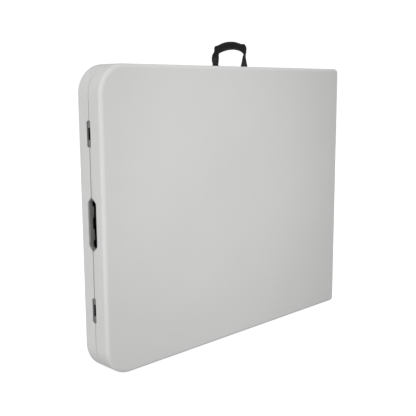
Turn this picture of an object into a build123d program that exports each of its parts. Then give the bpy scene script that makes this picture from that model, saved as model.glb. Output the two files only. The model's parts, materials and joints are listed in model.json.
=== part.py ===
from build123d import *
import os
from math import hypot

# A fold-in-half table, folded shut and standing on one long edge. Millimetres.
# +X runs along the folded half towards the hinge, +Y from the front half to the back half, +Z up.
# The origin is on the floor under the middle of the folded table, and the seam is the plane y = 0.
# The back half is the mirror image of the front half in the seam, apart from its cut-outs.

# Driving dimensions
half_length = 915.0
half_width = 740.0
half_thickness = 45.0
outer_end = -460.0
outer_corner = 70.0
hinge_corner = 12.0
face_round = 10.0
rim_round = 1.2
seam_gap = 0.5
slab_thickness = 18.0
rim_thickness = 16.0
recess_corner = 40.0
recess_hinge_corner = 6.0
skin = 2.5
long_wall_void = (-360.0, 400.0)
end_wall_voids = ((86.0, 116.0), (212.0, 292.0), (450.0, 532.0), (628.0, 654.0))

rail_size = 20.0
rail_wall = 1.5
rail_corner = 2.5
rail_start = -335.0
rail_end = 432.0
rail_edge_distance = 34.0
crossbar_positions = (-325.0, 407.0)
frame_screw_hole = 2.5

leg_radius = 11.0
leg_wall = 1.2
leg_length = 688.0
leg_position = -402.0
leg_pitch = 34.0
leg_axis_depth = 13.0
leg_pivot_height = 33.0
bolt_radius = 3.0
nut_radius = 4.6
nut_thickness = 3.0
rivet_head_radius = 5.0
rivet_head_thickness = 1.2
running_clearance = 0.05

anchor_reach = 300.0
stud_reach = 250.0
link_width = 14.0
link_thickness = 2.5
link_gap = 1.7
stud_collar = 1.0
plate_thickness = 1.8
plate_screw_hole = 2.3

hinge_heights = (90.0, 370.0, 650.0)
hinge_length = 90.0
hinge_gap = 1.5
knuckle_radius = 3.5
hinge_pin_radius = 2.0
leaf_thickness = 1.2
leaf_width = 12.5
leaf_screw_inset = 9.0
leaf_screw_spacing = 30.0

grip_height = 369.5
grip_length = 128.0
grip_depth_front = 16.5
grip_depth_back = 12.9
grip_taper = 12.5
grip_corner = 6.0
liner_thickness = 2.0
liner_depth = 12.0
liner_tab_depth = 16.3
liner_tab_length = 27.0
liner_tab_offset = 27.3
grip_pocket_length = 142.0
grip_pad_size = (34.0, 144.0, 2.0)

latch_heights = (161.0, 580.5)
latch_notch_length = 64.0
latch_depth_front = 5.0
latch_depth_back = 9.0
latch_taper = 3.5
latch_corner = 1.5
latch_recess = 3.0
latch_collar = 0.8
latch_slot_length = 28.0
latch_slot_front = 2.0
latch_slot_back = 6.4
tongue_length = 20.0

strap_positions = (-68.5, 42.5)
strap_depth = 22.0
strap_width = 25.0
strap_thickness = 2.0
handle_thickness = 5.0
handle_base = 744.0
tail_plate_thickness = 1.5
tail_screw_y = -11.0

# Worked out from the driving dimensions
hinge_end = outer_end + half_length
hinge_axis = hinge_end + hinge_gap
recess_depth = half_thickness - slab_thickness - seam_gap
slab_depth = half_thickness - slab_thickness
mid_x = (outer_end + hinge_end) / 2
mid_z = half_width / 2
wall_inside = outer_end + rim_thickness
stay_length = hypot(anchor_reach, stud_reach)
upper_link_length = (stay_length + anchor_reach - stud_reach) / 2
lower_link_length = (stay_length - anchor_reach + stud_reach) / 2
anchor_height = leg_pivot_height + anchor_reach
stud_height = leg_pivot_height + stud_reach
elbow_height = anchor_height - upper_link_length
lower_link_x = leg_position + leg_radius + stud_collar
upper_link_x = lower_link_x + link_thickness + link_gap
frame_screw_x = (-300.0, -100.0, 150.0, 380.0)
crossbar_screw_z = (130.0, 370.0, 610.0)
handle_tail_base = half_width - rim_thickness
hinge_screw_x = hinge_end - leaf_screw_inset

os.makedirs("parts", exist_ok=True)


def save(piece, label):
    """Name a finished piece and write it as its own STEP file."""
    piece.part.label = label
    export_step(piece.part, f"parts/{label}.step")


def save_pair(piece, stem):
    """Write a front-half piece and its mirror image for the back half."""
    save(piece, f"{stem}_front")
    with BuildPart() as twin:
        mirror(piece.part, about=Plane.XZ)
    save(twin, f"{stem}_back")


def save_leg_set(piece, stem):
    """Write a lower leg's piece for all four legs: the upper legs are turned end for end."""
    save_pair(piece, f"{stem}_lower")
    with BuildPart() as turned:
        add(mirror(piece.part, about=Plane.XY.offset(mid_z), mode=Mode.PRIVATE).moved(Pos(leg_pitch, 0, 0)))
    save_pair(turned, f"{stem}_upper")


def notch_face(x, depth, length, centre, taper, corner, grow):
    """Cross-section of an end-wall cut-out: it narrows away from the seam and is `grow` larger."""
    with BuildSketch(Plane.YZ.offset(x)) as face:
        with BuildLine():
            Polyline(
                (0, centre - length / 2),
                (-depth, centre - length / 2 + taper),
                (-depth, centre + length / 2 - taper),
                (0, centre + length / 2),
                close=True,
            )
        make_face()
        fillet(face.vertices().group_by(Axis.X)[0], radius=corner)
        if grow:
            offset(amount=grow)
    return face.sketch


def grip_face(x, depth, grow=0.0):
    """Cross-section of the finger grip's half of the cut-out."""
    return notch_face(x, depth, grip_length, grip_height, grip_taper, grip_corner, grow)


def latch_face(x, depth, height, inset=0.0):
    """Cross-section of one latch cut-out's half, or of the pocket `inset` inside it."""
    length = latch_notch_length - 2 * inset
    return notch_face(x, depth - inset, length, height, latch_taper, latch_corner - inset, 0.0)


def trim_at_seam():
    """Cut the part under construction back to the front half's side of the seam gap."""
    with Locations((outer_end, -seam_gap, mid_z)):
        Box(60, 20, half_width, align=(Align.CENTER, Align.MIN, Align.CENTER), mode=Mode.SUBTRACT)


# Tabletop halves: hollow blow-moulded shells with a rim, open towards the seam.
def tabletop(grip_depth, latch_depth, strap_slots):
    """One half, in the front half's place."""
    with BuildPart() as half:
        with BuildSketch(Plane.XZ.offset(seam_gap)) as outline:
            with Locations((mid_x, mid_z)):
                Rectangle(half_length, half_width)
            fillet(outline.vertices().group_by(Axis.X)[0], radius=outer_corner)
            fillet(outline.vertices().group_by(Axis.X)[-1], radius=hinge_corner)
        extrude(amount=half_thickness - seam_gap)
        fillet(half.faces().sort_by(Axis.Y)[0].edges(), radius=face_round)
        fillet(half.faces().sort_by(Axis.Y)[-1].edges(), radius=rim_round)

        # Recess for the legs and frame
        with BuildSketch(Plane.XZ.offset(seam_gap)) as recess:
            with Locations((mid_x, mid_z)):
                Rectangle(half_length - 2 * rim_thickness, half_width - 2 * rim_thickness)
            fillet(recess.vertices().group_by(Axis.X)[0], radius=recess_corner)
            fillet(recess.vertices().group_by(Axis.X)[-1], radius=recess_hinge_corner)
        extrude(amount=recess_depth, mode=Mode.SUBTRACT)

        # Hollow inside the slab, between the two skins
        with BuildSketch(Plane.XZ.offset(slab_depth + skin)) as slab_void:
            with Locations((mid_x, mid_z)):
                Rectangle(half_length - 2 * face_round, half_width - 2 * face_round)
            fillet(slab_void.vertices().group_by(Axis.X)[0], radius=outer_corner - face_round)
        extrude(amount=slab_thickness - 2 * skin, mode=Mode.SUBTRACT)

        # Hollows inside the rim walls, clear of the cut-outs and the strap slots
        wall_middle = rim_thickness / 2
        long_voids = [(*long_wall_void, wall_middle)]
        edges = [long_wall_void[0]]
        for strap_x in strap_slots:
            edges += [strap_x - strap_width, strap_x + strap_width]
        edges += [long_wall_void[1]]
        for start, stop in zip(edges[::2], edges[1::2]):
            long_voids.append((start, stop, half_width - wall_middle))
        with BuildSketch(Plane.XZ.offset(seam_gap + skin)):
            for start, stop, height in long_voids:
                with Locations(((start + stop) / 2, height)):
                    Rectangle(stop - start, rim_thickness - 2 * skin)
            for start, stop in end_wall_voids:
                with Locations((outer_end + wall_middle, (start + stop) / 2)):
                    Rectangle(rim_thickness - 2 * skin, stop - start)
        extrude(amount=slab_depth + skin - seam_gap, mode=Mode.SUBTRACT)

        # Cut-outs through the outer end wall
        cuts = [grip_face(outer_end - 1, grip_depth, liner_thickness)]
        cuts += [latch_face(outer_end - 1, latch_depth, height) for height in latch_heights]
        for cut in cuts:
            extrude(cut, amount=rim_thickness + 1.1, dir=(1, 0, 0), mode=Mode.SUBTRACT)

        # Pocket behind the finger grip, which the liner's tabs reach into
        with Locations((wall_inside + 1, 0, grip_height)):
            Box(
                rim_thickness - liner_depth + 1,
                2 * (grip_depth + liner_thickness + 1.5),
                grip_pocket_length,
                align=(Align.MAX, Align.CENTER, Align.CENTER),
                mode=Mode.SUBTRACT,
            )

        # Seats for the hinge leaves and barrels
        for height in hinge_heights:
            with BuildSketch(Plane.XY.offset(height - hinge_length / 2 - 2)):
                with Locations((hinge_end, 0)):
                    Rectangle(leaf_width + 2.5, leaf_thickness + seam_gap, align=(Align.MAX, Align.MAX))
                    Rectangle(knuckle_radius - 1, knuckle_radius + 0.7, align=(Align.MAX, Align.MAX))
            extrude(amount=hinge_length + 4, mode=Mode.SUBTRACT)

        # Slots for the handle's webbing
        if strap_slots:
            with BuildSketch(Plane.XY.offset(handle_tail_base - 1)):
                for strap_x in strap_slots:
                    with Locations((strap_x, -strap_depth)):
                        Rectangle(strap_width + 2, strap_thickness + 2)
            extrude(amount=rim_thickness + 2, mode=Mode.SUBTRACT)
    return half


tabletop_front = tabletop(grip_depth_front, latch_depth_front, strap_positions)
save(tabletop_front, "tabletop_front")

tabletop_back_blank = tabletop(grip_depth_back, latch_depth_back, ())
with BuildPart() as tabletop_back:
    mirror(tabletop_back_blank.part, about=Plane.XZ)
save(tabletop_back, "tabletop_back")


# Grey liners of the finger grip
def finger_liner(depth):
    """Open channel that lines one half's share of the finger grip, with two tabs on its inner edge."""
    start = outer_end + 0.4
    with BuildPart() as liner:
        extrude(grip_face(start, depth, liner_thickness), amount=liner_depth - 0.4, dir=(1, 0, 0))
        extrude(grip_face(start, depth), amount=rim_thickness, dir=(1, 0, 0), mode=Mode.SUBTRACT)
        trim_at_seam()
        for side in (-1, 1):
            with Locations((outer_end + liner_depth, -depth, grip_height + side * liner_tab_offset)):
                Box(
                    liner_tab_depth - liner_depth,
                    liner_thickness,
                    liner_tab_length,
                    align=(Align.MIN, Align.MAX, Align.CENTER),
                )
    return liner


finger_liner_front = finger_liner(grip_depth_front)
save(finger_liner_front, "finger_liner_front")
finger_liner_back_blank = finger_liner(grip_depth_back)
with BuildPart() as finger_liner_back:
    mirror(finger_liner_back_blank.part, about=Plane.XZ)
save(finger_liner_back, "finger_liner_back")

# Rubber pad on the back half's slab, behind the finger grip
pad_length, pad_height, pad_thickness = grip_pad_size
with BuildPart() as grip_pad:
    with Locations((wall_inside + 0.5, slab_depth, grip_height)):
        Box(pad_length, pad_thickness, pad_height, align=(Align.MIN, Align.MAX, Align.CENTER))
    fillet(grip_pad.edges().filter_by(Axis.Y), radius=4)
    chamfer(grip_pad.edges().group_by(Axis.Y)[0], length=0.6)
save(grip_pad, "grip_pad")


# Latches: a keeper in the front half, a housing in the back half, and a sliding tongue across the seam
def latch_block(depth, slot_depth):
    """Blocks that fill the two latch cut-outs, each with a shallow pocket and a slot open at the seam."""
    face = outer_end + 0.3
    with BuildPart() as blocks:
        for height in latch_heights:
            extrude(latch_face(face, depth, height), amount=wall_inside - face, dir=(1, 0, 0))
        for height in latch_heights:
            pocket = latch_face(outer_end - 1, depth, height, latch_collar)
            extrude(pocket, amount=latch_recess + 1, dir=(1, 0, 0), mode=Mode.SUBTRACT)
        trim_at_seam()
        for height in latch_heights:
            with Locations((outer_end, -slot_depth, height)):
                Box(
                    60,
                    20,
                    latch_slot_length,
                    align=(Align.CENTER, Align.MIN, Align.CENTER),
                    mode=Mode.SUBTRACT,
                )
    return blocks


latch_keepers = latch_block(latch_depth_front, latch_slot_front)
save(latch_keepers, "latch_keepers")
latch_housings_blank = latch_block(latch_depth_back, latch_slot_back)
with BuildPart() as latch_housings:
    mirror(latch_housings_blank.part, about=Plane.XZ)
save(latch_housings, "latch_housings")

tongue_gap = 0.1
tongue_edge = 0.8
tongue_flange = 2.0
tongue_flange_lip = 6.0
tongue_rib = (1.4, 3.6, 1.6)
tongue_rib_steps = (5.0, 10.0, 15.0)
for latch_name, latch_height in zip(("lower", "upper"), latch_heights):
    tongue_foot = latch_height - latch_slot_length / 2 + tongue_gap
    low = Align.MIN
    with BuildPart() as latch_tongue:
        with Locations((outer_end + latch_recess, tongue_gap - latch_slot_front, tongue_foot)):
            Box(
                rim_thickness - latch_recess + 1.0,
                latch_slot_front + latch_slot_back - 2 * tongue_gap,
                tongue_length,
                align=(low, low, low),
            )
        fillet(latch_tongue.edges().group_by(Axis.X)[0], radius=tongue_edge)
        # Flange behind the housing, which keeps the tongue in
        with Locations((wall_inside + tongue_gap, seam_gap + 0.3, tongue_foot - tongue_flange_lip)):
            Box(
                tongue_flange,
                latch_depth_back - 0.8,
                tongue_length + 2 * tongue_flange_lip,
                align=(low, low, low),
            )
        # Thumb ribs
        for step in tongue_rib_steps:
            with Locations((outer_end + latch_recess - 0.8, 0.2, tongue_foot + step)):
                Box(*tongue_rib, align=(low, low, Align.CENTER))
    save(latch_tongue, f"latch_tongue_{latch_name}")


# Steel frame in each half: two side rails and two crossbars, screwed to the slab
def square_tube(start, stop, plane):
    """Square tube along the plane's normal, centred on the plane's origin."""
    with BuildPart() as tube:
        with BuildSketch(plane.offset(start)):
            RectangleRounded(rail_size, rail_size, rail_corner)
            Rectangle(rail_size - 2 * rail_wall, rail_size - 2 * rail_wall, mode=Mode.SUBTRACT)
        extrude(amount=stop - start)
    return tube.part


rail_axis_y = -slab_depth + rail_size / 2
rail_heights = {"lower": rail_edge_distance, "upper": half_width - rail_edge_distance}
for rail_name, rail_height in rail_heights.items():
    rail_plane = Plane(origin=(0, rail_axis_y, rail_height), x_dir=(0, 1, 0), z_dir=(1, 0, 0))
    with BuildPart() as side_rail:
        add(square_tube(rail_start, rail_end, rail_plane))
        with Locations([Pos(x, 0, rail_height) * Rot(90, 0, 0) for x in frame_screw_x]):
            Cylinder(frame_screw_hole, 3 * rail_size, mode=Mode.SUBTRACT)
    save_pair(side_rail, f"side_rail_{rail_name}")

crossbar_start = rail_edge_distance + rail_size / 2
crossbar_stop = half_width - crossbar_start
for crossbar_name, crossbar_x in zip(("outer", "hinge"), crossbar_positions):
    crossbar_plane = Plane(origin=(crossbar_x, rail_axis_y, 0), x_dir=(1, 0, 0), z_dir=(0, 0, 1))
    with BuildPart() as crossbar:
        add(square_tube(crossbar_start, crossbar_stop, crossbar_plane))
        with Locations([Pos(crossbar_x, 0, z) * Rot(90, 0, 0) for z in crossbar_screw_z]):
            Cylinder(frame_screw_hole, 3 * rail_size, mode=Mode.SUBTRACT)
    save_pair(crossbar, f"crossbar_{crossbar_name}")


def screws(points, head_top, head_radius, head_height, shank_radius, shank_length):
    """Pan-head screws along Y at (x, z) points, heads standing at head_top and shanks into the slab."""
    with BuildPart() as group:
        with BuildSketch(Plane.XZ.offset(-head_top)):
            with Locations(points):
                Circle(head_radius)
        extrude(amount=head_height)
        chamfer(group.edges().group_by(Axis.Y)[-1], length=head_height * 0.4)
        with BuildSketch(Plane.XZ.offset(head_height - head_top)):
            with Locations(points):
                Circle(shank_radius)
        extrude(amount=shank_length)
    return group


frame_screw_points = [(x, z) for x in frame_screw_x for z in rail_heights.values()]
frame_screw_points += [(x, z) for x in crossbar_positions for z in crossbar_screw_z]
frame_head = 2.2
frame_screws = screws(
    frame_screw_points,
    head_top=rail_size - slab_depth + frame_head,
    head_radius=4.5,
    head_height=frame_head,
    shank_radius=frame_screw_hole - 0.2,
    shank_length=rail_size + 6,
)
save_pair(frame_screws, "frame_screws")


# Legs, modelled once for the lower leg of the front half, which is stored pointing up
def leg_circle(radius, start, stop):
    """Round bar along the leg between two distances from the pivot."""
    with BuildPart() as bar:
        with BuildSketch(Plane.XY.offset(leg_pivot_height + start)):
            with Locations((leg_position, -leg_axis_depth)):
                Circle(radius)
        extrude(amount=stop - start)
    return bar.part


plug_shoulder = 12.0
plug_spigot = 32.0
foot_radius = leg_radius + 1.0
foot_height = 25.0
foot_floor = 5.0
foot_edge = 2.5
weld_depth = 0.6
across = Plane.YZ.offset(leg_position)
pivot_point = (-leg_axis_depth, leg_pivot_height)

with BuildPart() as leg_tube:
    add(leg_circle(leg_radius, plug_shoulder, leg_length - foot_floor))
    add(leg_circle(leg_radius - leg_wall, plug_shoulder, leg_length - foot_floor), mode=Mode.SUBTRACT)
    # Welded stud that carries the lower link of the folding stay
    with BuildSketch(across.offset(leg_radius - weld_depth)):
        with Locations((-leg_axis_depth, stud_height)):
            Circle(bolt_radius)
    extrude(amount=weld_depth + stud_collar + link_thickness + running_clearance)
    with BuildSketch(across.offset(leg_radius + stud_collar + link_thickness + running_clearance)):
        with Locations((-leg_axis_depth, stud_height)):
            Circle(rivet_head_radius)
    extrude(amount=rivet_head_thickness)
save_leg_set(leg_tube, "leg_tube")

with BuildPart() as leg_plug:
    add(leg_circle(leg_radius, -leg_radius, plug_shoulder))
    with BuildSketch(across.offset(-leg_radius)):
        with Locations(pivot_point):
            Circle(leg_radius)
        with Locations((-leg_axis_depth, leg_pivot_height + plug_shoulder / 2)):
            Rectangle(2 * leg_radius, plug_shoulder)
    extrude(amount=2 * leg_radius, mode=Mode.INTERSECT)
    add(leg_circle(leg_radius - leg_wall, plug_shoulder, plug_spigot))
    with BuildSketch(across.offset(-leg_radius)):
        with Locations(pivot_point):
            Circle(bolt_radius + running_clearance)
    extrude(amount=2 * leg_radius, mode=Mode.SUBTRACT)
save_leg_set(leg_plug, "leg_pivot_plug")

with BuildPart() as leg_foot:
    add(leg_circle(foot_radius, leg_length - foot_height, leg_length))
    fillet(leg_foot.edges().group_by(Axis.Z)[-1], radius=foot_edge)
    add(leg_circle(leg_radius, leg_length - foot_height, leg_length - foot_floor), mode=Mode.SUBTRACT)
save_leg_set(leg_foot, "leg_foot")

# Leg brackets: a base plate on the slab and two cheeks that hold the pivot bolt
cheek_gap = leg_radius + 0.4
cheek_thickness = 2.0
cheek_outside = cheek_gap + cheek_thickness
cheek_radius = 9.0
cheek_foot = (leg_axis_depth + 1, 30.0)
cheek_foot_height = 46.0
bracket_flange = 22.0
bracket_height = 65.0
bracket_middle = 62.5
bracket_screws = [(leg_position - 17, z) for z in (40.0, 62.0, 84.0)]
anchor_screws = [(leg_position + 24, anchor_height + step) for step in (-12.0, 12.0)]
with BuildPart() as leg_bracket:
    with BuildSketch(Plane.XZ.offset(slab_depth - plate_thickness)):
        with Locations((leg_position + (cheek_outside - bracket_flange) / 2, bracket_middle)):
            RectangleRounded(bracket_flange + cheek_outside, bracket_height, 3)
        with Locations(bracket_screws):
            Circle(plate_screw_hole, mode=Mode.SUBTRACT)
    extrude(amount=plate_thickness)
    for cheek_start in (-cheek_outside, cheek_gap):
        with BuildSketch(across.offset(cheek_start)):
            with Locations(pivot_point):
                Circle(cheek_radius)
            with Locations((-slab_depth + plate_thickness / 2, cheek_foot_height)):
                Rectangle(*cheek_foot, align=(Align.MIN, Align.CENTER))
            with Locations(pivot_point):
                Circle(bolt_radius, mode=Mode.SUBTRACT)
        extrude(amount=cheek_thickness)
save_leg_set(leg_bracket, "leg_bracket")

with BuildPart() as leg_bolt:
    with BuildSketch(across.offset(-cheek_outside)):
        with Locations(pivot_point):
            Circle(bolt_radius)
    extrude(amount=2 * cheek_outside + nut_thickness + 1)
    for nut_start in (-cheek_outside - nut_thickness, cheek_outside):
        with BuildSketch(across.offset(nut_start)):
            with Locations(pivot_point):
                RegularPolygon(nut_radius, 6)
        extrude(amount=nut_thickness)


# Folding stays: two flat links per leg, side by side, with an anchor on the slab
def link(start_x, low, high, low_hole, high_hole):
    """Flat bar along Z with a rounded end and a hole round each of its two pivots."""
    with BuildPart() as bar:
        with BuildSketch(Plane.YZ.offset(start_x)):
            with Locations((-leg_axis_depth, (low + high) / 2)):
                SlotCenterToCenter(high - low, link_width, rotation=90)
            with Locations((-leg_axis_depth, low)):
                Circle(low_hole, mode=Mode.SUBTRACT)
            with Locations((-leg_axis_depth, high)):
                Circle(high_hole, mode=Mode.SUBTRACT)
        extrude(amount=link_thickness)
    return bar.part


running_hole = bolt_radius + running_clearance
elbow_shoulder_radius = 4.0
elbow_shoulder = link_gap - 0.3
with BuildPart() as stay_lower_link:
    add(link(lower_link_x, elbow_height, stud_height, elbow_shoulder_radius, running_hole))
save_leg_set(stay_lower_link, "stay_lower_link")

with BuildPart() as stay_upper_link:
    add(link(upper_link_x, elbow_height, anchor_height, bolt_radius, running_hole))
    # Elbow rivet, fixed in this link
    for rivet_radius, rivet_start, rivet_length in (
        (elbow_shoulder_radius, upper_link_x - elbow_shoulder, elbow_shoulder),
        (bolt_radius, upper_link_x, link_thickness),
        (rivet_head_radius, upper_link_x + link_thickness, rivet_head_thickness),
    ):
        with BuildSketch(Plane.YZ.offset(rivet_start)):
            with Locations((-leg_axis_depth, elbow_height)):
                Circle(rivet_radius)
        extrude(amount=rivet_length)
save_leg_set(stay_upper_link, "stay_upper_link")

anchor_point = (-leg_axis_depth, anchor_height)
anchor_ear_radius = 8.0
anchor_spacer_radius = 4.5
head_start = upper_link_x + link_thickness + running_clearance
with BuildPart() as stay_anchor:
    with BuildSketch(Plane.XZ.offset(slab_depth - plate_thickness)):
        with Locations((lower_link_x, anchor_height)):
            Rectangle(18, 36, align=(Align.MIN, Align.CENTER))
        with Locations(anchor_screws):
            Circle(plate_screw_hole, mode=Mode.SUBTRACT)
    extrude(amount=plate_thickness)
    with BuildSketch(Plane.YZ.offset(lower_link_x)):
        with Locations(anchor_point):
            Circle(anchor_ear_radius)
        with Locations((-slab_depth + plate_thickness / 2, anchor_height)):
            Rectangle(leg_axis_depth + 0.5, 2 * anchor_ear_radius, align=(Align.MIN, Align.CENTER))
    extrude(amount=link_thickness)
    # Pivot rivet: a spacer, a shank through the upper link and a head
    for rivet_radius, rivet_start, rivet_stop in (
        (anchor_spacer_radius, lower_link_x + link_thickness, upper_link_x - running_clearance),
        (bolt_radius, upper_link_x - running_clearance, head_start),
        (rivet_head_radius, head_start, head_start + rivet_head_thickness),
    ):
        with BuildSketch(Plane.YZ.offset(rivet_start)):
            with Locations(anchor_point):
                Circle(rivet_radius)
        extrude(amount=rivet_stop - rivet_start)
save_leg_set(stay_anchor, "stay_anchor")


def both_legs(piece):
    """The lower leg's piece together with its turned copy for the upper leg."""
    turned = mirror(piece, about=Plane.XY.offset(mid_z), mode=Mode.PRIVATE).moved(Pos(leg_pitch, 0, 0))
    with BuildPart() as both:
        add(piece)
        add(turned)
    return both


save_pair(both_legs(leg_bolt.part), "leg_pivot_bolts")
plate_head = 1.2
plate_screws = screws(
    bracket_screws + anchor_screws,
    head_top=plate_thickness + plate_head - slab_depth,
    head_radius=3.4,
    head_height=plate_head,
    shank_radius=plate_screw_hole - 0.2,
    shank_length=9,
)
save_pair(both_legs(plate_screws.part), "bracket_screws")


# Three butt hinges at the seam
hinge_screw_steps = (-leaf_screw_spacing, 0, leaf_screw_spacing)
hinge_screw_points = [(hinge_screw_x, z + step) for z in hinge_heights for step in hinge_screw_steps]
hinge_screw_head = 2.8


def hinge_leaf(knuckles, bore_radius):
    """Three front leaves, each with knuckles over the given (start, stop) spans about its middle."""
    with BuildPart() as leaves:
        for height in hinge_heights:
            with BuildSketch(Plane.XY.offset(height - hinge_length / 2)):
                with Locations((hinge_axis - knuckle_radius - 0.25, -seam_gap)):
                    Rectangle(leaf_width, leaf_thickness, align=(Align.MAX, Align.MAX))
            extrude(amount=hinge_length)
            for start, stop in knuckles:
                with BuildSketch(Plane.XY.offset(height + start)):
                    with Locations((hinge_axis, 0)):
                        Circle(knuckle_radius)
                    with Locations((hinge_axis - bore_radius - 0.2, -seam_gap)):
                        Rectangle(3, leaf_thickness, align=(Align.MAX, Align.MAX))
                    with Locations((hinge_axis, 0)):
                        Circle(bore_radius, mode=Mode.SUBTRACT)
                extrude(amount=stop - start)
        with Locations([Pos(x, 0, z) * Rot(90, 0, 0) for x, z in hinge_screw_points]):
            Cylinder(hinge_screw_head + running_clearance, 10, mode=Mode.SUBTRACT)
    return leaves


half_hinge = hinge_length / 2
knuckle_split = hinge_length / 6
split_gap = 0.2
front_spans = ((-half_hinge, -knuckle_split - split_gap), (knuckle_split + split_gap, half_hinge))
hinge_leaves_front = hinge_leaf(front_spans, hinge_pin_radius)
save(hinge_leaves_front, "hinge_leaves_front")
back_spans = ((-knuckle_split + split_gap, knuckle_split - split_gap),)
hinge_leaves_back_blank = hinge_leaf(back_spans, hinge_pin_radius + running_clearance)
with BuildPart() as hinge_leaves_back:
    mirror(hinge_leaves_back_blank.part, about=Plane.XZ)
save(hinge_leaves_back, "hinge_leaves_back")

pin_head = 1.0
with BuildPart() as hinge_pins:
    for height in hinge_heights:
        with Locations((hinge_axis, 0, height)):
            Cylinder(hinge_pin_radius, hinge_length)
        for end in (-1, 1):
            with Locations((hinge_axis, 0, height + end * (half_hinge + pin_head / 2))):
                Cylinder(hinge_pin_radius + 0.8, pin_head)
save(hinge_pins, "hinge_pins")

hinge_screws = screws(
    hinge_screw_points,
    head_top=-seam_gap,
    head_radius=hinge_screw_head,
    head_height=leaf_thickness,
    shank_radius=1.6,
    shank_length=11,
)
save_pair(hinge_screws, "hinge_screws")


# Carry handle: webbing that stands up from the top edge, sewn tails held under two plates
with BuildPart() as carry_handle:
    with BuildSketch(Plane.XZ.offset(strap_depth - handle_thickness / 2)):
        with BuildLine():
            Polyline((-57.5, handle_base), (-80, handle_base), (-81, 764), (-71.5, 789))
            ThreePointArc((-71.5, 789), (-8, 805), (40.5, 800))
            Polyline((40.5, 800), (50.5, 794), (50.5, 785), (47, 770), (55, handle_base), (31, handle_base))
            Polyline((31, handle_base), (42, 770), (42, 781))
            ThreePointArc((42, 781), (-4, 784), (-56.5, 771))
            Line((-56.5, 771), (-57.5, handle_base))
        make_face()
    extrude(amount=handle_thickness)
save(carry_handle, "carry_handle")

plate_top = handle_tail_base - strap_thickness
with BuildPart() as handle_tails:
    for strap_x in strap_positions:
        with BuildSketch(Plane.YZ.offset(strap_x - strap_width / 2)):
            with BuildLine():
                Polyline(
                    (-strap_depth - strap_thickness / 2, plate_top),
                    (-5, plate_top),
                    (-5, handle_tail_base),
                    (-strap_depth + strap_thickness / 2, handle_tail_base),
                    (-strap_depth + strap_thickness / 2, half_width + 1.5),
                    (-strap_depth - strap_thickness / 2, half_width + 1.5),
                    close=True,
                )
            make_face()
        extrude(amount=strap_width)
save(handle_tails, "handle_tails")

tail_plate_base = plate_top - tail_plate_thickness
tail_screw_points = [(strap_x, tail_screw_y) for strap_x in strap_positions]
tail_screw_radius = 2.0
tail_screw_head = 2.0
with BuildPart() as handle_plates:
    with BuildSketch(Plane.XY.offset(tail_plate_base)):
        with Locations(tail_screw_points):
            RectangleRounded(strap_width + 6, 12, 2)
            Circle(tail_screw_radius + 0.1, mode=Mode.SUBTRACT)
    extrude(amount=tail_plate_thickness)
save(handle_plates, "handle_plates")

with BuildPart() as handle_screws:
    with BuildSketch(Plane.XY.offset(tail_plate_base - tail_screw_head)):
        with Locations(tail_screw_points):
            Circle(tail_screw_radius + 1.8)
    extrude(amount=tail_screw_head)
    chamfer(handle_screws.edges().group_by(Axis.Z)[0], length=0.8)
    with BuildSketch(Plane.XY.offset(tail_plate_base)):
        with Locations(tail_screw_points):
            Circle(tail_screw_radius)
    extrude(amount=tail_plate_thickness + strap_thickness + 10)
save(handle_screws, "handle_screws")

print("stay links", round(upper_link_length, 2), round(lower_link_length, 2))
print("hinge axis x", hinge_axis, "files", len(os.listdir("parts")))
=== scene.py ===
import json
from math import cos, pi, radians, sin

import bmesh
import bpy
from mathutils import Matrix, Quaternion, Vector


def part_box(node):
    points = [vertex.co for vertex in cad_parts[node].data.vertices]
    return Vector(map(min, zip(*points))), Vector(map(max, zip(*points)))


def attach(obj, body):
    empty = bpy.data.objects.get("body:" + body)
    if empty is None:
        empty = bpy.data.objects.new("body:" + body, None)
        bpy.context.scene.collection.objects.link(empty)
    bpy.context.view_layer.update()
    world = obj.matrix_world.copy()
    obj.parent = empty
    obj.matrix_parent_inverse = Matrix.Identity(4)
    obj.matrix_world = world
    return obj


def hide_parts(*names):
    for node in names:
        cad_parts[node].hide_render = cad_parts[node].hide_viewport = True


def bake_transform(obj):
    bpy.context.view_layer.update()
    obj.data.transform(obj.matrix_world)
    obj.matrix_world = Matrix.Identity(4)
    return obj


# Looks of a fold-in-half table, folded shut on its long edge. Metres, in the CAD model's frame:
# +X to the hinge, +Y from the front half to the back half, +Z up, seam at y = 0.
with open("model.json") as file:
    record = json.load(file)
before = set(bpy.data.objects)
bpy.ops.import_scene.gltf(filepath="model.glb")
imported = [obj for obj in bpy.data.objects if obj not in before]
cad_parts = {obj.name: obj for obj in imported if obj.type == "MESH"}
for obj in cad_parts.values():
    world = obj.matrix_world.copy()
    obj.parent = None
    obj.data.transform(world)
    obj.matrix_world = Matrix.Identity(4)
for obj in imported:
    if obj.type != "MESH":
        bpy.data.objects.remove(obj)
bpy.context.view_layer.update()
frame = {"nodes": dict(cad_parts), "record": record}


# ---------------------------------------------------------------- camera, stage and lights
def add_camera():
    """Camera a little above the table, looking at its open end and front face together."""
    azimuth = radians(45.07)
    elevation = radians(9.374)
    roll = radians(-0.325)
    distance = 1.9397
    target = Vector((-0.0769, 0.0, 0.3632))
    look = Vector((sin(azimuth) * cos(elevation), cos(azimuth) * cos(elevation), -sin(elevation)))
    lens = bpy.data.cameras.new("camera")
    lens.lens = 61.98
    lens.sensor_width = 36.0
    lens.clip_end = 50.0
    camera = bpy.data.objects.new("camera", lens)
    camera.location = target - look * distance
    turn = look.to_track_quat("-Z", "Y") @ Quaternion((0, 0, 1), roll)
    camera.rotation_euler = turn.to_euler()
    bpy.context.collection.objects.link(camera)
    bpy.context.scene.camera = camera


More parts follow.
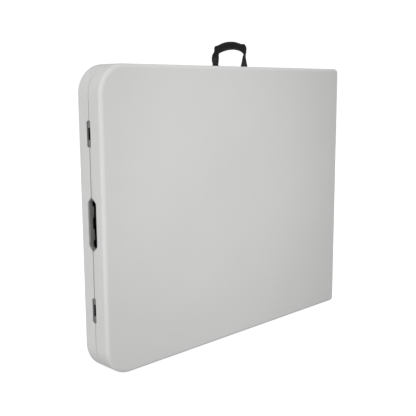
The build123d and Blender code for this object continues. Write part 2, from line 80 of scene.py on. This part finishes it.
def add_floor():
    """Plain pale floor that fades into the white background."""
    half = 6.0
    mesh = bpy.data.meshes.new("floor")
    corners = [(-half, -half, 0), (half, -half, 0), (half, half, 0), (-half, half, 0)]
    mesh.from_pydata(corners, [], [(0, 1, 2, 3)])
    floor = bpy.data.objects.new("floor", mesh)
    floor.location.z = -0.0005
    bpy.context.collection.objects.link(floor)
    paint = bpy.data.materials.new("studio_floor")
    paint.use_nodes = True
    shader = paint.node_tree.nodes["Principled BSDF"]
    shader.inputs["Base Color"].default_value = (0.85, 0.85, 0.85, 1)
    shader.inputs["Roughness"].default_value = 0.9
    shader.inputs["Emission Color"].default_value = (1, 1, 1, 1)
    shader.inputs["Emission Strength"].default_value = 0.62
    mesh.materials.append(paint)
    floor.visible_diffuse = False
    floor.visible_glossy = False


def add_world():
    """White surround: full white behind the table, a little less as light on it."""
    world = bpy.data.worlds.new("studio")
    bpy.context.scene.world = world
    world.use_nodes = True
    nodes = world.node_tree.nodes
    links = world.node_tree.links
    nodes.clear()
    output = nodes.new("ShaderNodeOutputWorld")
    mix = nodes.new("ShaderNodeMixShader")
    path = nodes.new("ShaderNodeLightPath")
    seen = nodes.new("ShaderNodeBackground")
    seen.inputs["Strength"].default_value = 1.05
    seen.inputs["Color"].default_value = (1, 1, 1, 1)
    light = nodes.new("ShaderNodeBackground")
    light.inputs["Color"].default_value = (1, 1, 1, 1)
    direction = nodes.new("ShaderNodeTexCoord")
    axes = nodes.new("ShaderNodeSeparateXYZ")
    height = nodes.new("ShaderNodeMapRange")
    low_end, high_end = (-0.6, 0.445), (0.8, 0.665)
    for suffix, (direction_z, strength) in (("Min", low_end), ("Max", high_end)):
        height.inputs[f"From {suffix}"].default_value = direction_z
        height.inputs[f"To {suffix}"].default_value = strength
    links.new(direction.outputs["Generated"], axes.inputs["Vector"])
    links.new(axes.outputs["Z"], height.inputs["Value"])
    links.new(height.outputs["Result"], light.inputs["Strength"])
    links.new(path.outputs["Is Camera Ray"], mix.inputs["Fac"])
    links.new(light.outputs["Background"], mix.inputs[1])
    links.new(seen.outputs["Background"], mix.inputs[2])
    links.new(mix.outputs["Shader"], output.inputs["Surface"])


def add_light(name, kind, place, target, energy, size, spread=None):
    """Soft light at a place, aimed at a target: a disk, or a spot whose cone is `spread` wide."""
    data = bpy.data.lights.new(name, kind)
    data.energy = energy
    if kind == "AREA":
        data.shape = "DISK"
        data.size = size
    else:
        data.shadow_soft_size = size
        data.spot_size = spread
        data.spot_blend = 0.82
    light = bpy.data.objects.new(name, data)
    light.location = place
    aim = Vector(target) - Vector(place)
    light.rotation_euler = aim.to_track_quat("-Z", "Y").to_euler()
    bpy.context.collection.objects.link(light)


add_camera()
add_floor()
add_world()
add_light("key", "SPOT", (-0.9, -4.3, 2.0), (-0.12, 0, 0.44), 320, 0.4, radians(20.2))
add_light("end_fill", "AREA", (-2.9, -0.4, 0.3), (-0.46, 0, 0.2), 29, 1.5)
add_light("top_fill", "AREA", (0.0, -0.4, 3.0), (0.0, 0.0, 0.7), 5, 1.8)
bpy.context.scene.view_settings.view_transform = "Standard"


# ---------------------------------------------------------------- materials
class Paint:
    """A node material whose colour, roughness and relief come from procedural textures."""

    def __init__(self, name, coordinates="Object"):
        self.material = bpy.data.materials.new(name)
        self.material.use_nodes = True
        self.nodes = self.material.node_tree.nodes
        self.links = self.material.node_tree.links
        self.shader = self.nodes["Principled BSDF"]
        self.place = self.nodes.new("ShaderNodeTexCoord").outputs[coordinates]
        self.normal = None

    def set(self, **values):
        """Constant values on the shader's own sockets."""
        for socket, value in values.items():
            self.shader.inputs[socket.replace("_", " ")].default_value = value

    def stretched(self, scale):
        """The texture place, scaled along each axis."""
        node = self.nodes.new("ShaderNodeMapping")
        node.inputs["Scale"].default_value = scale
        self.links.new(self.place, node.inputs["Vector"])
        return node.outputs["Vector"]

    def noise(self, scale, detail=3.0, rough=0.55, place=None):
        """Cloudy noise, 0 to 1."""
        node = self.nodes.new("ShaderNodeTexNoise")
        node.inputs["Scale"].default_value = scale
        node.inputs["Detail"].default_value = detail
        node.inputs["Roughness"].default_value = rough
        self.links.new(place or self.place, node.inputs["Vector"])
        return node.outputs["Fac"]

    def cells(self, scale):
        """Pebbles: the distance to the nearest of many scattered points."""
        node = self.nodes.new("ShaderNodeTexVoronoi")
        node.inputs["Scale"].default_value = scale
        self.links.new(self.place, node.inputs["Vector"])
        return node.outputs["Distance"]

    def bands(self, scale, direction):
        """Straight parallel bands, 0 to 1."""
        node = self.nodes.new("ShaderNodeTexWave")
        node.bands_direction = direction
        node.inputs["Scale"].default_value = scale
        self.links.new(self.place, node.inputs["Vector"])
        return node.outputs["Fac"]

    def math(self, operation, first, second=0.0):
        """One sum on two values, each a number or another node's output."""
        node = self.nodes.new("ShaderNodeMath")
        node.operation = operation
        for socket, value in zip(node.inputs, (first, second)):
            if isinstance(value, (int, float)):
                socket.default_value = value
            else:
                self.links.new(value, socket)
        return node.outputs["Value"]

    def distance(self, value, middle):
        """How far a value is from a middle one."""
        return self.math("ABSOLUTE", self.math("SUBTRACT", value, middle))

    def axes(self):
        """The texture place's X, Y and Z."""
        node = self.nodes.new("ShaderNodeSeparateXYZ")
        self.links.new(self.place, node.inputs["Vector"])
        return [node.outputs[axis] for axis in "XYZ"]

    def blend_colour(self, share, first, second):
        """Base colour that goes from the first colour to the second as the share rises."""
        node = self.nodes.new("ShaderNodeMix")
        node.data_type = "RGBA"
        self.links.new(share, node.inputs["Factor"])
        for socket, value in zip(node.inputs[6:8], (first, second)):
            if isinstance(value, tuple):
                socket.default_value = (*value, 1)
            else:
                self.links.new(value, socket)
        self.links.new(node.outputs[2], self.shader.inputs["Base Color"])

    def outline_depth(self, low, high, corners):
        """Distance inside a rounded outline in X and Z, whose corner radius differs at its two ends."""
        x, _, z = self.axes()
        radius = self.ramp(x, corners[0], corners[1], -0.1, 0.1)
        reach = []
        for value, start, stop in ((x, low[0], high[0]), (z, low[2], high[2])):
            straight = self.math("SUBTRACT", (stop - start) / 2, radius)
            reach.append(self.math("SUBTRACT", self.distance(value, (start + stop) / 2), straight))
        squares = [self.math("POWER", self.math("MAXIMUM", value, 0.0), 2.0) for value in reach]
        outside = self.math("SQRT", self.math("ADD", *squares))
        inside = self.math("MINIMUM", self.math("MAXIMUM", *reach), 0.0)
        return self.math("SUBTRACT", radius, self.math("ADD", outside, inside))

    def ramp(self, value, low, high, from_low=0.3, from_high=0.7):
        """Low to high as the value goes from from_low to from_high, and level beyond."""
        node = self.nodes.new("ShaderNodeMapRange")
        sockets = ("From Min", "From Max", "To Min", "To Max")
        for socket, number in zip(sockets, (from_low, from_high, low, high)):
            node.inputs[socket].default_value = number
        self.links.new(value, node.inputs["Value"])
        return node.outputs["Result"]

    def colours(self, value, *stops):
        """Base colour that follows a value between two stops, each a position and a colour."""
        node = self.nodes.new("ShaderNodeValToRGB")
        for element, (position, colour) in zip(node.color_ramp.elements, stops):
            element.position = position
            element.color = (*colour, 1)
        self.links.new(value, node.inputs["Fac"])
        self.links.new(node.outputs["Color"], self.shader.inputs["Base Color"])
        return node.outputs["Color"]

    def roughness(self, value):
        """Roughness that follows a value."""
        self.links.new(value, self.shader.inputs["Roughness"])

    def relief(self, height, depth, strength):
        """Fine relief on top of any that the material already has."""
        node = self.nodes.new("ShaderNodeBump")
        node.inputs["Strength"].default_value = strength
        node.inputs["Distance"].default_value = depth
        self.links.new(height, node.inputs["Height"])
        if self.normal:
            self.links.new(self.normal, node.inputs["Normal"])
        self.normal = node.outputs["Normal"]
        self.links.new(self.normal, self.shader.inputs["Normal"])


def tabletop_paint():
    """Blow-moulded white polyethylene: pebbled and slightly waxy, with scuffed edges and painted shade
    along the seam between the halves.
    """
    corners = (0.070, 0.012)
    grip_height = 0.37
    # One tone for both the painted seam shade and the real scuffed edge wear.
    seam_shade_and_wear_tone = (0.27, 0.27, 0.262)
    paint = Paint("moulded_white")
    paint.set(IOR=1.5)
    cloud = paint.noise(3.0, 4)
    clean = paint.colours(cloud, (0.3, (0.640, 0.640, 0.634)), (0.7, (0.668, 0.668, 0.662)))
    depth = paint.outline_depth(*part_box("tabletop_front"), corners)
    _, across, height = paint.axes()
    # Painted shade: the seam between the halves is darkened along the outer edge, more strongly near the
    # grip's height.
    near_seam = paint.ramp(paint.math("ABSOLUTE", across), 1.0, 0.0, 0.0009, 0.0022)
    near_edge = paint.ramp(depth, 1.0, 0.0, 0.0012, 0.0040)
    seam_shade_near_grip = paint.ramp(paint.distance(height, grip_height), 0.75, 0.1, 0.15, 0.30)
    painted_seam_shade = paint.math("MULTIPLY", paint.math("MULTIPLY", near_seam, near_edge), seam_shade_near_grip)
    rubbed = paint.ramp(depth, 0.035, 0.0, 0.0, 0.012)
    marks = paint.ramp(paint.noise(38, 6, 0.75), 0.0, 1.0, 0.45, 0.7)
    wear = paint.math("MULTIPLY", rubbed, marks)
    # Base colour: painted seam shade and real edge wear both darken the clean plastic towards one tone.
    paint.blend_colour(paint.math("MAXIMUM", painted_seam_shade, wear), clean, seam_shade_and_wear_tone)
    scuff = paint.noise(60, 6, 0.7, paint.stretched((1.0, 1.0, 0.25)))
    paint.roughness(paint.ramp(scuff, 0.5, 0.62))
    paint.relief(paint.cells(420), 0.00016, 0.35)
    paint.relief(paint.noise(9.0, 2), 0.0015, 0.25)
    return paint.material


def black_steel_paint():
    """Black powder coat on steel tube, with orange-peel and dull rubbed patches."""
    paint = Paint("powder_coat_black")
    cloud = paint.noise(14, 4)
    paint.colours(cloud, (0.25, (0.012, 0.012, 0.013)), (0.75, (0.030, 0.030, 0.032)))
    paint.roughness(paint.ramp(paint.noise(40, 5), 0.32, 0.52))
    paint.relief(paint.noise(900, 2), 0.00012, 0.5)
    return paint.material


def stay_paint():
    """Dark bar stock with fine rolling lines."""
    paint = Paint("stay_bar_steel")
    paint.set(Metallic=0.6)
    lines = paint.noise(300, 3, 0.6, paint.stretched((1.0, 1.0, 0.05)))
    paint.colours(lines, (0.3, (0.035, 0.035, 0.038)), (0.7, (0.075, 0.075, 0.08)))
    paint.roughness(paint.ramp(lines, 0.34, 0.5))
    paint.relief(lines, 0.0001, 0.3)
    return paint.material


def zinc_paint():
    """Zinc-plated fasteners: bright, slightly blotchy, with turning marks."""
    paint = Paint("zinc_plate")
    paint.set(Metallic=1.0)
    blotch = paint.noise(160, 4)
    paint.colours(blotch, (0.3, (0.50, 0.49, 0.46)), (0.7, (0.66, 0.66, 0.64)))
    paint.roughness(paint.ramp(blotch, 0.24, 0.42))
    paint.relief(paint.noise(1200, 3), 0.00005, 0.4)
    return paint.material


def moulded_paint(name, dark, light, rough_low, rough_high):
    """Injection-moulded plastic or rubber with a fine spark-eroded grain."""
    paint = Paint(name)
    cloud = paint.noise(70, 4)
    paint.colours(cloud, (0.3, dark), (0.7, light))
    paint.roughness(paint.ramp(paint.noise(220, 3), rough_low, rough_high))
    paint.relief(paint.cells(1100), 0.00012, 0.45)
    return paint.material


def latch_paint():
    """Grey moulding of the latch blocks, with black painted shade in and just around the tongues' slots."""
    slot_middle, slot_reach = 0.0022, 0.0046
    latch_heights = (0.161, 0.5805)
    slot_half_length = 0.01405
    slot_painted_shade = (0.002, 0.002, 0.002)
    paint = Paint("latch_grey")
    paint.set(Specular_IOR_Level=0.12)
    grey = paint.colours(paint.noise(70, 4), (0.3, (0.215, 0.215, 0.211)), (0.7, (0.26, 0.26, 0.255)))
    paint.roughness(paint.ramp(paint.noise(220, 3), 0.6, 0.75))
    paint.relief(paint.cells(1100), 0.00012, 0.45)
    _, y, z = paint.axes()
    across = paint.math("LESS_THAN", paint.distance(y, slot_middle), slot_reach)
    along = []
    for height in latch_heights:
        along.append(paint.math("LESS_THAN", paint.distance(z, height), slot_half_length))
    # Painted shade: the band of the moulding around each slot is coloured black.
    slot = paint.math("MULTIPLY", across, paint.math("ADD", *along))
    paint.blend_colour(slot, grey, slot_painted_shade)
    return paint.material


def shade_black_paint(name, dark, light):
    """Matt black rubber or plastic, darkened to near zero as painted shade for its shadowed place, with a
    faint dusty bloom.
    """
    paint = Paint(name)
    paint.set(Specular_IOR_Level=0.12, Roughness=0.8)
    paint.colours(paint.noise(90, 5), (0.35, dark), (0.8, light))
    paint.relief(paint.cells(900), 0.00015, 0.5)
    return paint.material


def webbing_paint(name, coordinates):
    """Charcoal polypropylene webbing: ribs across the strap, crossed by finer warp lines."""
    paint = Paint(name, coordinates)
    ribs = paint.bands(320, "Y")
    warp = paint.bands(520, "X")
    weave = paint.math("MULTIPLY", ribs, warp)
    fuzz = paint.noise(2600, 3)
    tone = paint.math("ADD", paint.math("MULTIPLY", weave, 0.7), paint.math("MULTIPLY", fuzz, 0.3))
    paint.colours(tone, (0.1, (0.003, 0.003, 0.003)), (0.9, (0.024, 0.024, 0.025)))
    paint.set(Roughness=0.82, Specular_IOR_Level=0.2, Sheen_Weight=0.04, Sheen_Roughness=0.5)
    paint.relief(weave, 0.0004, 0.7)
    return paint.material


liner_grey = moulded_paint("liner_grey", (0.345, 0.345, 0.338), (0.400, 0.400, 0.392), 0.5, 0.66)
latch_grey = latch_paint()
# The tongues are black plastic, darkened to near zero as painted shade inside the latch slots.
tongue_shade_black = shade_black_paint("tongue_shade_black", (0.001, 0.001, 0.001), (0.002, 0.002, 0.002))
plug_black = moulded_paint("black_moulding", (0.010, 0.010, 0.010), (0.020, 0.020, 0.020), 0.38, 0.55)
foot_black = moulded_paint("foot_rubber", (0.018, 0.018, 0.018), (0.034, 0.033, 0.032), 0.7, 0.9)

# The finish of a sub-part is its own one here, or else its material slot's.
OWN_FINISH = {
    "finger_liner_front": liner_grey,
    "finger_liner_back": liner_grey,
    "latch_keepers": latch_grey,
    "latch_housings": latch_grey,
    "latch_tongue_lower": tongue_shade_black,
    "latch_tongue_upper": tongue_shade_black,
    # Painted shade: the grip pad is a near-black sheet behind the finger grip, where the table's inside
    # lies in shade.
    "grip_pad": shade_black_paint("pad_shade_black", (0.002, 0.002, 0.002), (0.006, 0.006, 0.006)),
}
SLOT_FINISH = {
    "tabletop_plastic": tabletop_paint(),
    "black_steel": black_steel_paint(),
    "stay_steel": stay_paint(),
    "zinc_steel": zinc_paint(),
    "black_plastic": plug_black,
    "foot_rubber": foot_black,
    "webbing": webbing_paint("webbing_weave", "Object"),
}

for part in frame["record"]["subparts"]:
    node = part["node"]
    finish = OWN_FINISH[node] if node in OWN_FINISH else SLOT_FINISH[part["material_slot"]]
    body = frame["nodes"][node]
    body.data.materials.clear()
    body.data.materials.append(finish)


# ---------------------------------------------------------------- mesh helpers
def new_object(name, mesh, material):
    """Object from a mesh, with its material, linked into the scene."""
    mesh.materials.clear()
    mesh.materials.append(material)
    piece = bpy.data.objects.new(name, mesh)
    bpy.context.collection.objects.link(piece)
    return piece


def apply_modifiers(piece):
    """Replace the piece's mesh by its evaluated one."""
    bpy.context.view_layer.update()
    graph = bpy.context.evaluated_depsgraph_get()
    final = bpy.data.meshes.new_from_object(piece.evaluated_get(graph))
    piece.modifiers.clear()
    piece.data = final
    return piece


def shade(piece):
    """Smooth shading with sharp creases, and flat faces kept flat."""
    crease = radians(35.0)
    piece.data.shade_smooth()
    piece.data.set_sharp_from_angle(angle=crease)
    weighted = piece.modifiers.new("weighted", "WEIGHTED_NORMAL")
    weighted.keep_sharp = True
    weighted.weight = 100
    return apply_modifiers(piece)


# ---------------------------------------------------------------- tabletop halves
def outer_skin(node):
    """Closed outer surface of a hollow CAD tabletop, without its inner void."""
    mesh = frame["nodes"][node].data.copy()
    work = bmesh.new()
    work.from_mesh(mesh)
    bmesh.ops.remove_doubles(work, verts=work.verts, dist=1e-6)
    islands = []
    unseen = set(work.verts)
    while unseen:
        stack = [unseen.pop()]
        island = set(stack)
        while stack:
            for edge in stack.pop().link_edges:
                for vert in edge.verts:
                    if vert in unseen:
                        unseen.remove(vert)
                        island.add(vert)
                        stack.append(vert)
        islands.append(island)

    def width(island):
        return max(v.co.x for v in island) - min(v.co.x for v in island)

    islands.sort(key=width)
    for island in islands[:-1]:
        bmesh.ops.delete(work, geom=list(island), context="VERTS")
    work.to_mesh(mesh)
    work.free()
    return mesh


def kiss_off_cutters(side):
    """Oval cups in rows, as deep as the moulded kiss-offs under one half."""
    slab_face = 0.027
    cup_depth = 0.0105
    half_long, half_short = 0.0165, 0.0095
    columns, rows = 15, 13
    x_low, x_high = -0.296, 0.380
    z_low, z_high = 0.070, 0.670
    segments = 28
    # Depth under the slab's face, and the oval's size there as a share of its size at the face.
    profile = ((-0.004, 1.30), (0.0, 1.0), (0.0018, 0.86), (cup_depth * 0.8, 0.62), (cup_depth, 0.42))
    cutter = bmesh.new()
    for column in range(columns):
        for row in range(rows):
            x = x_low + (x_high - x_low) * column / (columns - 1)
            z = z_low + (z_high - z_low) * row / (rows - 1)
            long_x = (column + row) % 2 == 0
            rings = []
            for depth, grow in profile:
                reach_x, reach_z = (half_long, half_short) if long_x else (half_short, half_long)
                y = side * (slab_face + depth)
                ring = []
                for step in range(segments):
                    turn = 2 * pi * step / segments
                    place = (x + reach_x * grow * cos(turn), y, z + reach_z * grow * sin(turn))
                    ring.append(cutter.verts.new(place))
                rings.append(ring)
            for near, far in zip(rings, rings[1:]):
                for step in range(segments):
                    following = (step + 1) % segments
                    cutter.faces.new((near[step], near[following], far[following], far[step]))
            cutter.faces.new(rings[0][::-1])
            cutter.faces.new(rings[-1])
    bmesh.ops.recalc_face_normals(cutter, faces=cutter.faces)
    mesh = bpy.data.meshes.new("kiss_offs")
    cutter.to_mesh(mesh)
    cutter.free()
    return mesh


def tabletop(side_name, side):
    """Visible half: the CAD half's outer skin with moulded cups in its underside."""
    node = f"tabletop_{side_name}"
    plastic = SLOT_FINISH["tabletop_plastic"]
    piece = new_object(f"moulded_top_{side_name}", outer_skin(node), plastic)
    cutter = new_object("cutter", kiss_off_cutters(side), plastic)
    cut = piece.modifiers.new("cups", "BOOLEAN")
    cut.operation = "DIFFERENCE"
    cut.solver = "EXACT"
    cut.object = cutter
    apply_modifiers(piece)
    bpy.data.objects.remove(cutter)
    shade(piece)
    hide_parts(node)
    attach(piece, f"half_{side_name}")


tabletop("front", -1)
tabletop("back", 1)


# ---------------------------------------------------------------- webbing handle
def smooth_points(points, steps):
    """Catmull-Rom curve through the points, `steps` samples to a span."""
    points = [Vector(p) for p in points]
    padded = [points[0] * 2 - points[1]] + points + [points[-1] * 2 - points[-2]]
    curve = []
    for index in range(1, len(padded) - 2):
        a, b, c, d = padded[index - 1:index + 3]
        for step in range(steps):
            t = step / steps
            bend = (2 * a - 5 * b + 4 * c - d) * t**2 + (3 * b - a - 3 * c + d) * t**3
            curve.append(0.5 * (2 * b + (c - a) * t + bend))
    curve.append(points[-1])
    return curve


STRAP_Y = -0.022
STRAP_WIDTH = 0.025
STRAP_THICKNESS = 0.0022
STRAP_CUP = 0.0025
STRAP_STEPS = 16
# Millimetres: height and X of the outer selvedge, of the inner one, and how far the outer one stands behind
# the strap's plane while the inner one stands as far before it. From the left slot to the right one.
STRAP_ROUTE = [
    (730, -81, 730, -56, 0),
    (742, -78.5, 742, -58, 0),
    (755, -81.5, 756, -56, 0),
    (767, -80, 767, -56, 0),
    (777, -73, 771, -55.5, 0),
    (789, -71, 773, -53, 0),
    (793.5, -58, 775.5, -46.5, 0),
    (800, -40, 779.5, -33, 0),
    (804, -20, 782.5, -17, 0),
    (804.5, 6, 784, 5, 0),
    (800.5, 31, 781, 27, 0),
    (800, 44, 776, 37.5, 0),
    (791, 54, 772.5, 38.5, 2),
    (780.5, 56, 769, 35.5, 4.4),
    (768.5, 54, 763, 33, 4.6),
    (756, 55, 753.5, 31.3, 2.9),
    (742, 55.5, 742, 30.5, 0),
    (730, 55, 730, 30, 0),
]
STRAP_EDGES = [
    (
        (outer_x / 1000, STRAP_Y + turn / 1000, outer_z / 1000),
        (inner_x / 1000, STRAP_Y - turn / 1000, inner_z / 1000),
    )
    for outer_z, outer_x, inner_z, inner_x, turn in STRAP_ROUTE
]


def strap_frames():
    """Samples along the strap: both selvedge points and the direction square to the webbing."""
    first = smooth_points([a for a, _ in STRAP_EDGES], STRAP_STEPS)
    second = smooth_points([b for _, b in STRAP_EDGES], STRAP_STEPS)
    frames = []
    for index in range(len(first)):
        before = max(index - 1, 0)
        after = min(index + 1, len(first) - 1)
        along = (first[after] + second[after]) - (first[before] + second[before])
        across = second[index] - first[index]
        frames.append((first[index], second[index], along.cross(across).normalized()))
    return frames


def strap_cup(first, second, share):
    """How far the webbing bulges where its selvedges are nearer together than its width."""
    span = min((second - first).length, STRAP_WIDTH)
    arch = (3 * span * (STRAP_WIDTH - span) / 8) ** 0.5
    return min(arch, STRAP_CUP) * (1 - (2 * share - 1) ** 2)


def strap_ribbon():
    """Closed ribbon, thinner at its selvedges, unrolled in its UV map for the weave."""
    columns = 14
    rim_share = 0.04
    rim_thickness = 0.45
    frames = strap_frames()
    work = bmesh.new()
    uv = work.loops.layers.uv.new("weave")
    outline = []
    for column in range(columns + 1):
        outline.append((column / columns, 1))
    for column in range(columns, -1, -1):
        outline.append((column / columns, -1))
    rings = []
    lengths = [0.0]
    for (a, b, _), (c, d, _) in zip(frames, frames[1:]):
        lengths.append(lengths[-1] + ((c + d) / 2 - (a + b) / 2).length)
    for index, (first, second, normal) in enumerate(frames):
        ring = []
        for share, face in outline:
            rim = min(min(share, 1 - share) / rim_share, 1.0)
            half = STRAP_THICKNESS / 2 * (rim_thickness + (1 - rim_thickness) * rim)
            rise = half * face + strap_cup(first, second, share)
            ring.append(work.verts.new(first.lerp(second, share) + normal * rise))
        rings.append(ring)
    count = len(outline)
    for index in range(len(rings) - 1):
        for step in range(count):
            following = (step + 1) % count
            places = ((index, step), (index, following), (index + 1, following), (index + 1, step))
            face = work.faces.new([rings[row][column] for row, column in places])
            for loop, (row, column) in zip(face.loops, places):
                loop[uv].uv = (outline[column][0] * STRAP_WIDTH, lengths[row])
    work.faces.new(rings[0][::-1])
    work.faces.new(rings[-1])
    bmesh.ops.recalc_face_normals(work, faces=work.faces)
    mesh = bpy.data.meshes.new("strap")
    work.to_mesh(mesh)
    work.free()
    return mesh


def capsule(work, start, end):
    """One stitch of thread with rounded ends between two points."""
    radius = 0.00035
    segments = 8
    axis = (end - start).normalized()
    side = axis.orthogonal().normalized()
    other = axis.cross(side)
    far_end = (end - start).length / radius
    # Places along the thread and the thread's size there, both as shares of its radius.
    profile = ((-0.5, 0.0), (-0.35, 0.7), (0.1, 1.0),
               (far_end - 0.1, 1.0), (far_end + 0.35, 0.7), (far_end + 0.5, 0.0))
    rings = []
    for along, reach in profile:
        centre = start + axis * along * radius
        if reach == 0.0:
            rings.append([work.verts.new(centre)])
            continue
        ring = []
        for step in range(segments):
            turn = 2 * pi * step / segments
            ring.append(work.verts.new(centre + (side * cos(turn) + other * sin(turn)) * radius * reach))
        rings.append(ring)
    for near, far in zip(rings, rings[1:]):
        for step in range(segments):
            following = (step + 1) % segments
            corners = [near[step % len(near)], near[following % len(near)],
                       far[following % len(far)], far[step % len(far)]]
            work.faces.new(list(dict.fromkeys(corners)))


def strap_stitches():
    """Two rows of thread along the grip and a boxed cross on each leg, on both faces of the strap."""
    grip = (7 * STRAP_STEPS, 10 * STRAP_STEPS)
    crosses = ((1.3 * STRAP_STEPS, 2.2 * STRAP_STEPS), (15.1 * STRAP_STEPS, 15.9 * STRAP_STEPS))
    near_rim, far_rim = 0.14, 0.86
    box_near, box_far = 0.2, 0.8
    stitch, pitch = 1.5, 2.3
    stitches_a_line, stitch_share = 6, 0.68
    lift = STRAP_THICKNESS / 2 + 0.0001
    frames = strap_frames()
    work = bmesh.new()

    def on_strap(position, share, face):
        """Point on a face of the strap, at a sample number along it and a share of its width."""
        index = int(position)
        rest = position - index
        first = frames[index][0].lerp(frames[index + 1][0], rest)
        second = frames[index][1].lerp(frames[index + 1][1], rest)
        rise = lift * face + strap_cup(first, second, share)
        return first.lerp(second, share) + frames[index][2] * rise

    for face in (-1, 1):
        for share in (near_rim, far_rim):
            position = float(grip[0])
            while position < grip[1] - 2:
                capsule(work, on_strap(position, share, face), on_strap(position + stitch, share, face))
                position += pitch
        for low, high in crosses:
            corners = [(low, box_near), (high, box_near), (high, box_far), (low, box_far)]
            diagonals = [(corners[0], corners[2]), (corners[3], corners[1])]
            sides = [(corners[0], corners[3]), (corners[1], corners[2]),
                     (corners[0], corners[1]), (corners[3], corners[2])]
            for (p, q), (r, s) in diagonals + sides:
                for step in range(stitches_a_line):
                    t0 = step / stitches_a_line
                    t1 = (step + stitch_share) / stitches_a_line
                    a = on_strap(p + (r - p) * t0, q + (s - q) * t0, face)
                    b = on_strap(p + (r - p) * t1, q + (s - q) * t1, face)
                    capsule(work, a, b)
    bmesh.ops.recalc_face_normals(work, faces=work.faces)
    mesh = bpy.data.meshes.new("stitches")
    work.to_mesh(mesh)
    work.free()
    return mesh


def handle():
    """Webbing strap that bends where it leaves the slots, and its thread."""
    strap = new_object("strap", strap_ribbon(), webbing_paint("strap_weave", "UV"))
    strap.data.shade_smooth()
    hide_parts("carry_handle")
    thread = moulded_paint("bonded_thread", (0.05, 0.05, 0.052), (0.11, 0.11, 0.115), 0.5, 0.7)
    stitches = new_object("strap_stitches", strap_stitches(), thread)
    stitches.data.shade_smooth()
    for piece in (strap, stitches):
        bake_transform(piece)


handle()
